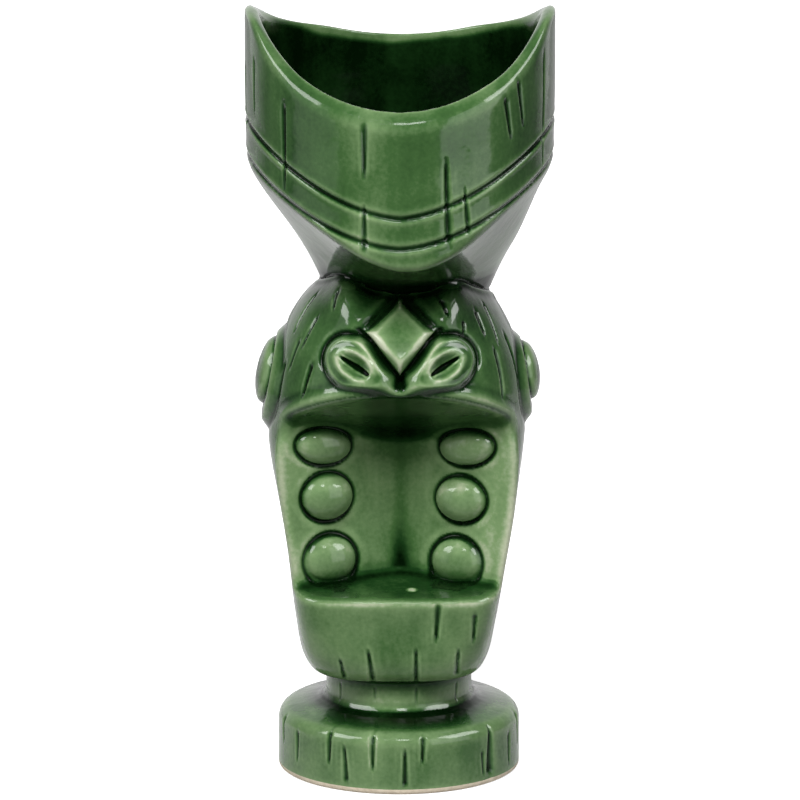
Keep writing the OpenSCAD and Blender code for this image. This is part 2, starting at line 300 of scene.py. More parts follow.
# the head's outline, as shares of its height and of its largest radius
BODY_LINE = [
    (0.028, 0.560), (0.033, 0.640), (0.048, 0.710), (0.090, 0.768), (0.165, 0.805), (0.240, 0.836),
    (0.334, 0.868), (0.477, 0.928), (0.598, 0.983), (0.689, 1.000), (0.764, 0.988), (0.842, 0.932),
    (0.888, 0.875), (0.922, 0.812), (0.958, 0.714), (0.985, 0.590), (0.995, 0.490)]
CHIN_Z = BODY_Z + 2.9
DOME_Z = NECK_Z + 0.2
body_curve = spline([(BODY_R * r, BODY_Z + BODY_H * h) for h, r in BODY_LINE], 6)
body_lathe = Lathe([(0, CHIN_Z), (12, CHIN_Z), *body_curve, (10, DOME_Z), (0, DOME_Z)], soften=2)

base_curve = [
    (0, FOOT_TOP + 1), (FOOT_R - 8.3, FOOT_TOP + 1), (FOOT_R - 8.3, 0), (FOOT_R - 2.2, 0),
    *arc(BASE_R - 1.4, 1.1, 1.4, 1.1, -75, 0), *arc(BASE_R - 3.6, BASE_TOP - 4.0, 3.6, 3.6, 0, 78),
    (24.5, BASE_TOP + 0.5), (21.6, BASE_TOP + 1.2), (STEM_R + 0.9, BASE_TOP + 2.1), (STEM_R, BASE_TOP + 3.6),
    (STEM_R, BODY_Z + 4), (0, BODY_Z + 4)]
base_lathe = Lathe(base_curve, soften=2)


def inner_outline():
    """The room for the drink below the neck, as (radius, height)."""
    floor = FOOT_TOP + WALL
    bore = STEM_R - WALL
    side = [(r - WALL, z) for r, z in body_curve if BODY_Z + 9 < z < BODY_Z + 0.93 * BODY_H]
    return [(0, floor), (BASE_R - 7.5, floor), *arc(BASE_R - WALL - 3, floor + 3, 3, 3, -80, 0, 4),
            (BASE_R - WALL, BASE_TOP - 5.5), (BASE_R - 6.5, BASE_TOP - WALL), (bore, BASE_TOP - WALL + 0.5),
            (bore, BODY_Z + 2.5), (side[0][0] - 3, BODY_Z + 7), *side, (0, side[-1][1] + 4)]


inner_lathe = Lathe(inner_outline(), soften=3)

# ---------- the mug as one distance

def body_radius(z):
    """Radius of the head's outline at a height."""
    return np.interp(z, body_curve[:, 1], body_curve[:, 0])


def palate_height(y):
    """Height of the mouth's roof, which rises to the front."""
    return PALATE_Z - PALATE_SLOPE * y


def mouth(x, y, z, grow=0.0):
    """Distance from the carved mouth, negative inside it."""
    side = soft_abs(x, 2.4)
    depth = VALLEY + 2.2 * bump(z - BODY_Z - 28, 14)
    wall = (y + depth + LEAN * side + 0.0016 * x * x) * 0.94 - grow
    shelf = (SHELF_Z + 0.15 * (y + 25.5)) - z - grow
    roof = (z - palate_height(y)) * 0.8 - grow
    return smax(smax(wall, shelf, 2.6), roof, 4.6)


def frame_at(x, z, side_lean, up_lean):
    """A point on the front of the head, and its right, up and outward directions."""
    r = body_radius(z)
    origin = np.array([x, -math.sqrt(max(r * r - x * x, 1)), z])
    out = np.array([math.sin(side_lean) * math.cos(up_lean), -math.cos(side_lean) * math.cos(up_lean),
                    math.sin(up_lean)])
    right = np.cross(out, [0, 0, 1.0])
    right /= -np.linalg.norm(right)
    return origin, right, np.cross(out, right), out


TOOTH_R = 6.8
TEETH = {}
# each tooth's shift and drop from its CAD box in millimetres, droop and turn in degrees, and stretch
for side, row, shift, drop, droop, turn, wide, tall in (
    ("left", "top", -0.6, 1.6, 14, 9, 1.11, 0.76), ("left", "middle", -0.2, 0.8, 4, 0, 1.02, 0.94),
    ("left", "bottom", -0.8, 1.9, -4, 0, 1.07, 1.02), ("right", "top", -0.9, 2.2, 14, -9, 1.1, 0.74),
    ("right", "middle", -1.0, 1.4, 4, 0, 1.0, 0.9), ("right", "bottom", -0.9, 2.6, -4, 0, 1.03, 1.01),
):
    low, high = cad_box(f"tooth_{side}_{row}")
    middle = (low + high) / 2
    TEETH[f"tooth_{side}_{row}"] = middle[0] + shift, middle[2] - drop, droop, turn, wide, tall


def tooth_frame(name):
    """A tooth's centre on the mouth's wall, and its right, down and outward directions."""
    x, z, droop, turn = TEETH[name][:4]
    a, b, c = math.atan(LEAN) * np.sign(x), math.radians(droop), math.radians(turn)
    out = np.array([-math.sin(a) * math.cos(b), -math.cos(a) * math.cos(b), -math.sin(b)])
    right = np.array([math.cos(a), -math.sin(a), 0.0])
    down = np.cross(right, out)
    right, down = right * math.cos(c) + down * math.sin(c), down * math.cos(c) - right * math.sin(c)
    return np.array([x, -VALLEY - LEAN * abs(x) - 0.2, z]), right, down, out


TOOTH_FRAMES = {name: tooth_frame(name) for name in TEETH}


def local(p, placed):
    """Coordinates of points along the three directions of a placed frame."""
    origin, *directions = placed
    return [(p - origin) @ direction for direction in directions]


def tooth_coordinates(p, name):
    """Coordinates across, down and out of a tooth, stretched so that its edge is a circle."""
    u, v, w = local(p, TOOTH_FRAMES[name])
    wide, tall = TEETH[name][4:]
    return u / wide, v / tall, w


def ellipsoid(u, v, w, a, b, c):
    """Distance from an ellipsoid with half axes a, b and c."""
    k0 = np.sqrt((u / a) ** 2 + (v / b) ** 2 + (w / c) ** 2)
    k1 = np.sqrt((u / a ** 2) ** 2 + (v / b ** 2) ** 2 + (w / c ** 2) ** 2)
    return k0 * (k0 - 1) / np.maximum(k1, 1e-6)


NOSTRIL_TILT = math.radians(25)
NOSTRIL_LEAN = math.radians(24)
NOSTRIL_X = 12.2
NOSTRIL_Z = BODY_Z + 91.0
SLIT_SHIFT = -1.3
NOSTRILS = {}
for side, sign in (("left", -1), ("right", 1)):
    placed = frame_at(sign * NOSTRIL_X, NOSTRIL_Z, sign * NOSTRIL_LEAN, NOSTRIL_LEAN)
    NOSTRILS[f"nostril_{side}"] = placed, sign


def nostril_coordinates(p, name):
    """Coordinates along and across a nostril's slit, with the outer end at positive along."""
    placed, sign = NOSTRILS[name]
    u, v, w = local(p, placed)
    u = u * sign
    c, s = math.cos(NOSTRIL_TILT), math.sin(NOSTRIL_TILT)
    return u * c + v * s, -u * s + v * c, w


def nostril_edge(along, across):
    """1 at the edge of a nostril's boss, smaller inside."""
    half = 6.6 * (1 - 0.30 * step(-along, -1, 9))
    return np.sqrt((along / np.where(along > 0, 8.6, 11.2)) ** 2 + (across / half) ** 2)


def slit_distance(along, across):
    """Distance from the slit, which is widest in the middle."""
    along = along - SLIT_SHIFT
    half_width = 1.15 - 0.16 * np.abs(np.clip(along, -4, 4))
    return np.hypot(np.maximum(np.abs(along) - 3.7, 0), across / half_width)


def slit_ring(along, across):
    """1 on the crest of the ring round the slit, smaller inside."""
    return np.hypot((along - SLIT_SHIFT) / 5.6, across / 3.3)


def nostril_relief(along, across):
    """Height of a nostril over the head: a boss with a ring, a dish and a slit, in a shallow moat."""
    edge = nostril_edge(along, across)
    relief = 2.3 * step(1.16 - edge, 0, 0.34)
    ring = slit_ring(along, across)
    relief += 0.6 * bump(ring - 1, 0.3)
    relief -= 1.5 * step(1 - ring, 0.02, 0.75)
    relief -= 1.9 * bump(slit_distance(along, across), 0.62)
    moat = 0.8 * bump(edge - 1.17, 0.10) * step(across + 0.35 * along, -4.5, 0)
    return relief - moat


KITE_TOP, KITE_MIDDLE, KITE_LOW = kite_high[2] + 0.2, BODY_Z + 98.8, kite_low[2] - 0.3
KITE_HALF = kite_high[0] + 0.1


def kite_edges(x, z):
    """Distances outside a kite's upper edges and its lower edges, in front view."""
    up = KITE_TOP - KITE_MIDDLE
    low = KITE_MIDDLE - KITE_LOW
    a = np.abs(x)
    upper = (a * up + (z - KITE_TOP) * KITE_HALF) / math.hypot(up, KITE_HALF)
    lower = (a * low - (z - KITE_LOW) * KITE_HALF) / math.hypot(low, KITE_HALF)
    return upper, lower


def beside_kite(z):
    """1 beside a kite's lower half, 0 above and below it."""
    return step(KITE_MIDDLE + 1.5 - z, 0, 3) * step(z, KITE_LOW - 5, KITE_LOW - 2)


def nose_relief(x, z):
    """Height of the kite shaped nose over the head, with the grooves beside it."""
    upper, lower = kite_edges(x, z)
    height = 1.3 + 2.2 * step(KITE_TOP - z, 2, 15)
    slope = smin(-upper * 2.2 + 0.7, -lower * 1.4 + 0.3, 0.6)
    relief = np.maximum(smin(slope, height, 1.5), 0)
    groove = 2.1 * bump(lower - 0.9, 0.8) * beside_kite(z)
    fold = 0.8 * bump(upper - 1.3, 1.3) * step(z, KITE_MIDDLE - 2, KITE_MIDDLE + 1)
    groove += 2.2 * bump(x, 1.9) * bump(z - KITE_LOW + 2.4, 2.2)
    return relief - groove - fold


EYES = {"eye_left": -1, "eye_right": 1}
EYE_Y = 1.8
EYE_Z = sum(corner[2] for corner in cad_box("eye_left")) / 2 - 0.8
EYE_R = 12.6
PUPIL_R = 7.8


def eye_relief(y, z, size):
    """Height of a side eye over the body: a dome in a ring, thin at the edge."""
    away = np.hypot(y - EYE_Y, z - EYE_Z + 0.5) / size - EYE_R
    centre = np.hypot(y - EYE_Y, z - EYE_Z - 1.2) / size
    ring = 1.7 * step(-away, 0, 3.2)
    dome = 2.5 * np.sqrt(np.clip(1 - (centre / PUPIL_R) ** 2, 0, 1))
    return ring + dome - 0.6 * bump(centre - PUPIL_R - 0.2, 0.7) - 0.2 * bump(away, 0.9)


def squeezed(x, z):
    """The body's right side is pressed in a little, most at the chin, and its left cheek swells."""
    h = z - BODY_Z
    pressed = 0.02 + 0.08 * step(h, 50, 4) + 0.03 * step(h, 85, 98)
    pressed = np.where(x > 0, pressed, -0.035 * bump(h - 63, 16))
    return np.where(h > 0, x * (1 + pressed * step(np.abs(x), 0, 12)), x)


def neck_distance(x, y, z):
    """Distance outside the neck, which widens a little upwards."""
    radius = NECK_R - 1.2 + 0.30 * np.clip(z - NECK_Z, -8, 5)
    return np.hypot(x - NECK_X, y - NECK_Y) - radius


def neck_front(y, z):
    """1 at the front of the neck where it meets the head, 0 elsewhere."""
    return step(y, NECK_Y - 2, NECK_Y - 9) * (np.abs(z - NECK_Z) < 13)


def head_relief(p):
    """Height of the front of the head: the upper lip's ridge with a crease over it, nose and nostrils."""
    x, y, z = p.T
    over = z - palate_height(y)
    relief = 0.8 * bump(over - 1.4, 2.3) - 0.15 * bump(over - 5.4, 1.2)
    relief = relief * step(np.cos(np.arctan2(x, -y)), 0.30, 0.5)
    relief += np.where(np.abs(x) < KITE_HALF + 6, nose_relief(x, z), 0)
    for name in NOSTRILS:
        along, across, w = nostril_coordinates(p, name)
        relief += np.where(np.abs(w) < REACH, nostril_relief(along, across), 0)
    return relief


def with_teeth(p, f):
    """The distance f of the head with every tooth's dome and the groove round it."""
    for name in TEETH:
        u, v, w = tooth_coordinates(p, name)
        away = np.hypot(u, v) - TOOTH_R
        close = (away < 4) & (np.abs(w) < REACH)
        if close.any():
            u, v, w, away = u[close], v[close], w[close], away[close]
            height = 4.4 if name.endswith("top") else 4.9
            groove = 0.5 * bump(away - 0.3, 0.62) - 0.06 * bump(away - 2.0, 0.9)
            dome = ellipsoid(u, v, w + 0.6, TOOTH_R * 1.02, TOOTH_R, height)
            f[close] = smin(f[close] + groove * bump(w - 0.4, 2.4), dome, 0.4)
    return f


def rounded_square(x, y, z):
    """Distance from the axis, as if the front were nearly square at the chin and round above the mouth."""
    h = z - BODY_Z
    square = (y < 0) * step(h, 74, 34) * (0.35 + 0.65 * step(h, 4, 22))
    power = 2 + 3.4 * square
    across = np.abs(squeezed(x, z))
    return (across ** power + np.abs(y * (1 + 0.07 * square)) ** power) ** (1 / power)


def body(p):
    """Outside of the head, with its cuts, relief, mouth, teeth and eyes."""
    x, y, z = p.T
    h = z - BODY_Z
    front = y < 0
    shoulder = 0.9 * step(np.abs(x), 5, 13) + 2.9 * bump(np.abs(x) - 14.5, 4.6) * step(y, 4, -6)
    shoulder = shoulder * step(h, 94, 106)
    f = body_lathe(rounded_square(x, y, z), z - shoulder)
    depth = np.maximum(cuts_round(x, y, z, HAIR_R, HAIR_MARKS), cuts_round(x, y, z, GRAIN_R, GRAIN_MARKS))
    chin = front & (h < 28)
    if chin.any():
        depth[chin] = np.maximum(depth[chin], cuts(x[chin], z[chin], LIP_MARKS))
    head = front & (z - palate_height(y) > -6) & (h > 60)
    ridge = np.zeros(len(x))
    if head.any():
        ridge[head] = head_relief(p[head])
    f = f - ridge * 0.8 + depth * 0.85
    f = smax(f, -mouth(x, y, z), 2.3)
    near = front & (h > 22) & (h < 82)
    if near.any():
        f[near] = with_teeth(p[near], f[near])
    sides = (np.abs(x) > BODY_R - 12) & (np.abs(z - EYE_Z) < 16)
    size = np.where(x[sides] < 0, 1.13, 0.99)
    f[sides] -= eye_relief(y[sides], z[sides], size) * 0.93
    # a crease round the front of the neck, and a low lip in front of it
    collar = neck_distance(x, y, z)
    return f + neck_front(y, z) * (1.0 * bump(collar - 0.1, 0.8) - 0.55 * bump(collar - 2.1, 0.9))


def crown_edge(x, lift=0.0):
    """Height of the crown's lower edge: flat at the prow, then slanting up, level at the sides."""
    return POINT_Z + lift + 0.3 + EDGE_RISE * step(soft_abs(x / CROWN_R, 0.02), 0, 1.13)


def funnel_side(x, y, z, r0, r1, start, lift):
    """Distance below the funnel's outside: straight lines from the neck's circle, of radius r0 at the
    height start, to the crown's lower edge, of radius r1."""
    k = r1 - r0

    def height(x, y):
        back = y - NECK_Y
        a = NECK_Y ** 2 - k * k
        b = 2 * NECK_Y * back - 2 * r0 * k
        c = x * x + back * back - r0 * r0
        s = (-b - np.sqrt(np.maximum(b * b - 4 * a * c, 0))) / (2 * a)
        s = np.clip(s, -0.6, 1.6)
        edge = r1 * np.clip(x / (r0 + k * s), -1, 1)
        return start + s * (crown_edge(edge, lift) - start)

    h = height(x, y)
    e = 0.4
    gx = (height(x + e, y) - h) / e
    gy = (height(x, y + e) - h) / e
    return (h - z) / np.sqrt(1 + gx * gx + gy * gy)


def neck_shift(z):
    """How far the funnel's middle is to the right: the neck's shift, gone by the crown."""
    return NECK_X * step(z, 160, 140)


def crown_band(x, y, z, rho):
    """Distance outside the crown's barrel, with its two carved lines and its cuts."""
    band = rho - CROWN_R + 0.35 * step(186 - z, 0, 20)
    across = np.abs(x) / CROWN_R
    line = POINT_Z + 5.7 + 17.0 * across ** 1.65
    for rise in (0, 8.1 + 1.2 * across):
        off = z - line - rise
        band = band + 0.58 * bump(off, 0.75) - 0.10 * bump(np.abs(off) - 1.5, 0.8)
    return band + 0.85 * cuts_round(x, y, z, CROWN_R, CROWN_MARKS)


def crown_saddle(x, y, z, rho):
    """Distance above the rim, which dips in a saddle between two points and slopes inwards."""
    aside = rho - np.abs(x)
    rim = TOP_Z - RIM_DIP + 0.5 + RIM_TILT * step(y, -20, 40) * step(aside, 0, 20)
    rim = rim + 3.0 * step(np.abs(x), 25, 41) * (1 - 0.8 * step(y, -3, 8))
    rim = rim - 0.75 * np.clip(rho - CROWN_R + WALL, 0, WALL) * step(aside, -1, 6)
    return (SADDLE_R - np.hypot(x, z - rim - SADDLE_R)) * 0.85


def crown(p):
    """Outside of neck, funnel and crown, with the rim's saddle."""
    x, y, z = p.T
    neck = smax(neck_distance(x, y, z), z - FUNNEL_Z - 1, 0.5)
    f = smax(neck, BODY_Z + 74 - z, 1)
    up = z > NECK_Z - 4
    if up.any():
        x, y, z = x[up], y[up], z[up]
        rho = np.hypot(x, y)
        under = funnel_side(x - neck_shift(z), y, z, NECK_R - 0.1, CROWN_R, FUNNEL_Z - 1.6, 0.0)
        g = smax(crown_band(x, y, z, rho), under, 1.7)
        g = smax(smax(g, crown_saddle(x, y, z, rho), 2.6), z - TOP_Z, 1.6)
        f[up] = smin(f[up], g, 2.2)
    return f


def hollow(p):
    """Distance from the room for the drink, negative inside it."""
    x, y, z = p.T
    away = neck_distance(x, y, z) + WALL - 0.8
    f = np.full(len(x), 50.0)
    low = z < NECK_Z + 6
    if low.any():
        zz = z[low]
        room = inner_lathe(np.hypot(squeezed(x[low], zz), y[low]), zz)
        bore = away[low] + 3 - 3 * np.clip((zz - BODY_Z - 71) / 36, 0, 1)
        bore = smax(bore, BODY_Z + 73 - zz, 1)
        room = smin(room, bore, 3)
        f[low] = smax(room, -mouth(x[low], y[low], zz, WALL), 1.5)
    up = z > NECK_Z - 6
    if up.any():
        x, y, z, away = x[up], y[up], z[up], away[up]
        inside_r = CROWN_R - WALL
        throat = smax(away, z - FUNNEL_Z - 2, 1)
        under = funnel_side(x - neck_shift(z), y, z, NECK_R - WALL, inside_r, FUNNEL_Z, WALL + 2)
        # a faint throwing ledge runs round inside the rim
        ledge = 0.35 * np.sin(z * 0.5 + 1.2 * np.sin(np.arctan2(x, -y) * 2)) * step(z, 168, 180)
        bowl = smax(np.hypot(x, y) - inside_r + 0.25 * ledge, under, 5.0)
        f[up] = smin(f[up], smin(throat, bowl, 3.0), 1.5)
    return f


def base(p):
    """Outside of the foot disc and the stem, with the disc's cuts."""
    x, y, z = p.T
    return base_lathe(np.hypot(x - BASE_X, y), z) + 0.9 * cuts_round(x, y, z, BASE_R, BASE_MARKS)


def outside(p):
    """The mug's outside, as if it were solid."""
    z = p[:, 2]
    f = np.full(len(p), 60.0)
    for zone, part, blend in (
        (z < BODY_Z + 12, base, 1.0),
        ((z > BODY_Z - 8) & (z < NECK_Z + 8), body, 1.3),
        (z > BODY_Z + 70, crown, 0.8),
    ):
        if zone.any():
            f[zone] = smin(f[zone], part(p[zone]), blend)
    return f


def clay(p):
    """The whole mug: negative inside the clay."""
    return smax(outside(p), -hollow(p), 1.2)


# ---------- zones of the pieces

def tooth_zone(p, name):
    """A round plug in the mouth's wall, a little wider than the tooth."""
    u, v, w = tooth_coordinates(p, name)
    return np.maximum(np.hypot(u, v) - TOOTH_R - 0.35, np.maximum(-1.9 - w, w - REACH))


def nostril_zone(p, name):
    """A plug in the head, out to the moat round the nostril."""
    along, across, w = nostril_coordinates(p, name)
    return np.maximum((nostril_edge(along, across) - 1.14) * 6.5, np.abs(w - 1) - 6)


def kite_zone(p):
    """The nose's kite in front view, down to 2 mm under the head's outline."""
    x, y, z = p.T
    upper, lower = kite_edges(x, z)
    deep = body_lathe(np.hypot(x, y), z)
    return np.maximum(np.maximum(upper, lower) - 0.4, np.maximum(-2 - deep, y))


def eye_zone(p, sign):
    """A round plug in the side of the head."""
    x, y, z = p.T
    return np.maximum(np.hypot(y - EYE_Y, z - EYE_Z) - 12.0, (BODY_R - 6) - sign * x)


def lower_lip_zone(p):
    """A block round the lower lip."""
    x, y, z = p.T
    return np.maximum.reduce([np.abs(x) - 22.4, z - lip_high[2] - 2, lip_low[2] - z, y + 7.2])


def upper_lip_zone(p):
    """A slab along the front of the mouth's roof."""
    y, z = p[:, 1], p[:, 2]
    over = z - palate_height(y)
    return np.maximum(np.abs(over - 0.3) - 3.9, y + 13.0)


def between(low, high):
    """A zone between two heights."""
    return lambda p: np.maximum(low - p[:, 2], p[:, 2] - high)


relief_zones = {name: partial(tooth_zone, name=name) for name in TEETH}
relief_zones |= {name: partial(nostril_zone, name=name) for name in NOSTRILS}
relief_zones["nose_diamond"] = kite_zone
relief_zones |= {name: partial(eye_zone, sign=sign) for name, sign in EYES.items()}
relief_zones["lower_lip"] = lower_lip_zone
near_upper_lip = [relief_zones[name] for name in (*NOSTRILS, "nose_diamond", "tooth_left_top",
                                                  "tooth_right_top")]
relief_zones["upper_lip"] = lambda p: np.maximum(
    upper_lip_zone(p), -np.minimum.reduce([zone(p) for zone in near_upper_lip]))


def body_zone(p):
    """What the pieces of relief leave of the head."""
    rest = np.minimum.reduce([zone(p) for zone in relief_zones.values()])
    return np.maximum(between(BODY_Z, NECK_Z)(p), -rest)


def crown_split(p):
    """Distance below the line where the crown's band starts."""
    return crown_edge(p[:, 0], 0.6) - p[:, 2]


# each node's zone, and the size of its mesh's cells in millimetres
ZONES = {
    "foot_ring": (lambda p: np.maximum(p[:, 2] - FOOT_TOP, FOOT_R - 9 - np.hypot(p[:, 0], p[:, 1])), 0.6),
    "base_disc": (between(FOOT_TOP, BASE_TOP + 1.6), 0.5),
    "stem": (between(BASE_TOP + 1.6, BODY_Z), 0.5),
    "body_shell": (body_zone, 0.5),
    "neck_collar": (between(NECK_Z, FUNNEL_Z), 0.5),
    "crown_funnel": (lambda p: np.maximum(FUNNEL_Z - p[:, 2], -crown_split(p)), 0.5),
    "crown_band": (lambda p: np.maximum(crown_split(p), FUNNEL_Z - p[:, 2]), 0.5),
}
for node, zone in relief_zones.items():
    ZONES[node] = (zone, 0.5 if "lip" in node else 0.36)

# ---------- meshing

def sample(function, points):
    """A distance at many points, worked out in strips on four threads."""
    strips = np.array_split(points, max(1, len(points) // 25000))
    with ThreadPoolExecutor(4) as pool:
        return np.concatenate(list(pool.map(function, strips)))


def grid_points(low, size, cells):
    """Places of grid cells in millimetres."""
    return low + size * cells.astype(float)


def grid_cells(shape):
    """Every cell of a grid of this shape."""
    return np.stack(np.meshgrid(*[np.arange(n) for n in shape], indexing="ij"), -1).reshape(-1, 3)


BLOCK = 8    # grid cells along a coarse block


def near_surface(solid, low, voxel, shape):
    """Marks the grid points close to the solid's surface, coarse blocks first."""
    blocks = grid_cells(shape // BLOCK)
    centres = grid_points(low, voxel, blocks * BLOCK + BLOCK / 2)
    blocks = blocks[np.abs(sample(solid, centres)) < 1.7 * BLOCK * voxel]
    cells = (blocks[:, None] * BLOCK + 2 * grid_cells([BLOCK // 2] * 3)).reshape(-1, 3)
    cells = cells[np.abs(sample(solid, grid_points(low, voxel, cells + 1))) < 4.4 * voxel]
    marked = np.zeros(shape + 1, bool)
    for shift in grid_cells([3] * 3):
        marked[tuple((cells + shift).T)] = True
    return marked


def surface_net(zone, low, high, voxel):
    """Vertices and faces of the clay inside a zone, with one vertex for each grid cell that the
    surface crosses, and the share of the surface in that cell that is the clay's own."""
    def solid(p):
        return np.maximum(clay(p), zone(p))

    shape = (np.ceil((high - low) / voxel / BLOCK) * BLOCK).astype(int)
    marked = near_surface(solid, low, voxel, shape)
    where = np.argwhere(marked)
    field = np.zeros(marked.shape, np.float32)
    points = grid_points(low, voxel, where)
    of_clay, of_zone = sample(clay, points), sample(zone, points)
    field[marked] = np.maximum(of_clay, of_zone)
    by_clay = np.zeros(marked.shape, bool)
    by_clay[marked] = of_clay > of_zone
    inside = field < 0
    keys, spots, quads, kinds = [], [], [], []
    stride = np.array([marked.shape[1] * marked.shape[2], marked.shape[2], 1])
    for axis in range(3):
        first = tuple(slice(0, -1 if i == axis else None) for i in range(3))
        second = tuple(slice(int(i == axis), None) for i in range(3))
        crossing = marked[first] & marked[second] & (inside[first] != inside[second])
        at = np.argwhere(crossing)
        a, b = field[first][crossing], field[second][crossing]
        spot = at.astype(float)
        spot[:, axis] += a / (a - b)
        key = at @ stride
        sb, sc = stride[(axis + 1) % 3], stride[(axis + 2) % 3]
        around_edge = np.stack([key - sb - sc, key - sc, key, key - sb], 1)
        outward = inside[first][crossing]
        of_outer = np.where(outward, by_clay[second][crossing], by_clay[first][crossing])
        quads.append(np.where(outward[:, None], around_edge, around_edge[:, ::-1]))
        kinds.append(np.repeat(of_outer, 4))
        keys.append(around_edge.ravel())
        spots.append(np.repeat(spot, 4, 0))
    keys = np.concatenate(keys)
    spots = np.concatenate(spots)
    cells, index = np.unique(keys, return_inverse=True)
    count = np.bincount(index)
    vertices = np.stack([np.bincount(index, spots[:, i]) / count for i in range(3)], 1)
    clay_share = np.bincount(index, np.concatenate(kinds)) / count
    faces = np.searchsorted(cells, np.concatenate(quads))
    return low + voxel * vertices, faces, clay_share


# the four corners of a tetrahedron, at which a slope is measured
TETRA = np.array([(1, -1, -1), (-1, -1, 1), (-1, 1, -1), (1, 1, 1)], float)


def value_and_slope(function, points, reach=0.07):
    """A distance and its slope at many points."""
    near = [sample(function, points + reach * k) for k in TETRA]
    slope = sum(f[:, None] * k for f, k in zip(near, TETRA)) / (4 * reach)
    return sum(near) / 4, slope


def settle(vertices, zone, voxel, clay_share):
    """Moves vertices on to the clay's surface, the zone's edge, or the line where they meet."""
    seam = (clay_share > 0.01) & (clay_share < 0.99)
    on_clay = clay_share > 0.5
    for _ in range(2):
        f, fs = value_and_slope(clay, vertices)
        z, zs = value_and_slope(zone, vertices)
        ff = np.maximum((fs * fs).sum(1), 0.05)
        zz = np.maximum((zs * zs).sum(1), 0.05)
        fz = (fs * zs).sum(1)
        det = ff * zz - fz * fz + 0.02
        a = (-f * zz + z * fz) / det
        b = (-z * ff + f * fz) / det
        both = a[:, None] * fs + b[:, None] * zs
        one = np.where(on_clay[:, None], (-f / ff)[:, None] * fs, (-z / zz)[:, None] * zs)
        move = np.where(seam[:, None], both, one)
        length = np.linalg.norm(move, axis=1)
        move *= np.minimum(1, 0.8 * voxel / np.maximum(length, 1e-9))[:, None]
        vertices = vertices + move
    return vertices, on_clay | seam


def largest_part(count, faces):
    """Marks the vertices of the biggest connected part."""
    label = np.arange(count)
    edges = np.concatenate([faces[:, [0, 1]], faces[:, [1, 2]], faces[:, [2, 3]]])
    while True:
        low = np.minimum(label[edges[:, 0]], label[edges[:, 1]])
        new = label.copy()
        for end in (edges[:, 0], edges[:, 1]):
            np.minimum.at(new, end, low)
            np.minimum.at(new, label[end], low)
        new = new[new]
        if (new == label).all():
            return label == np.bincount(label).argmax()
        label = new


def bend(points, normal, reach):
    """How much the surface curves at this scale: above 0 where it bulges, below 0 in a hollow."""
    helper = np.where(np.abs(normal[:, 2:]) < 0.9, [[0, 0, 1.0]], [[1.0, 0, 0]])
    t = np.cross(normal, helper)
    t /= np.linalg.norm(t, axis=1)[:, None]
    s = np.cross(normal, t)
    return sum(sample(clay, points + reach * d) for d in (t, -t, s, -s)) / (4 * reach)


def nostril_glaze(p):
    """Dark in a nostril's slit and round its boss, thin in the dish and on its ring."""
    amount = np.zeros(len(p))
    for name in NOSTRILS:
        along, across, w = nostril_coordinates(p, name)
        dish = slit_ring(along, across)
        slit = slit_distance(along, across)
        dark = (dish < 1.1) * step(slit, 0.75, 0.35)
        inside = step(dish, 1.05, 0.85) * step(slit, 0.5, 0.9)
        boss = bump(nostril_edge(along, across) - 0.9, 0.16)
        ring = bump(dish - 1.0, 0.3)
        amount += (0.55 * dark - 0.12 * inside + 0.16 * boss - 0.1 * ring) * (np.abs(w) < REACH)
    return amount


def mouth_glaze_and_shade(p, n):
    """Dark on the mouth's roof, whose downward face is darkened as painted shade, and on its floor and down
    its valley, thin on its walls, lips and chin.
    """
    x, y, z = p.T
    h = z - BODY_Z
    over = z - palate_height(y)
    away = mouth(x, y, z)
    cut = (np.abs(away) < 0.5) & (y < 0)
    # painted shade: the roof's underside, facing down, is darkened
    roof = step(-n[:, 2], 0.15, 0.6) * bump(over, 2.5) * (y < -3)
    lip = bump(over - 1.6, 1.7) * (y < -12) * step(-n[:, 2], 0.3, 0.0) * step(np.abs(x), 33, 29)
    wall = (y < 0) * bump(away, 1.4) * step(np.abs(n[:, 2]), 0.5, 0.3)
    outer = wall * step(body_lathe(np.hypot(squeezed(x, z), y), z), -8, -1) * step(over, -2, -10)
    valley = wall * bump(x, 2.3) * (0.07 + 0.4 * bump(h - 32.5, 6.5))
    edge = bump(away - 1.8, 1.0) * step(y, -6, -14) * (over < 0) * (h > 27)
    edge = edge * (0.25 + 0.75 * step(h, 60, 44))
    floor = cut * step(n[:, 2], 0.6, 0.9)
    corner = cut * bump(over + 1, 5) * step(np.abs(x), 5, 12) * step(np.abs(x), 31, 25)
    chin = step(h, 29, 24) * step(h, 0, 4) * step(y, -6, -16)
    pinhole = np.hypot((x - 3.1) / 1.6, (y + 19) / 1.7) + 10 * (np.abs(z - SHELF_Z - 0.6) > 3)
    return (0.30 * roof - 0.09 * lip + valley - 0.17 * wall - 0.12 * outer - 0.3 * edge + 0.22 * floor
            - 0.32 * corner - 0.12 * chin - 0.75 * step(pinhole, 1.0, 0.5))


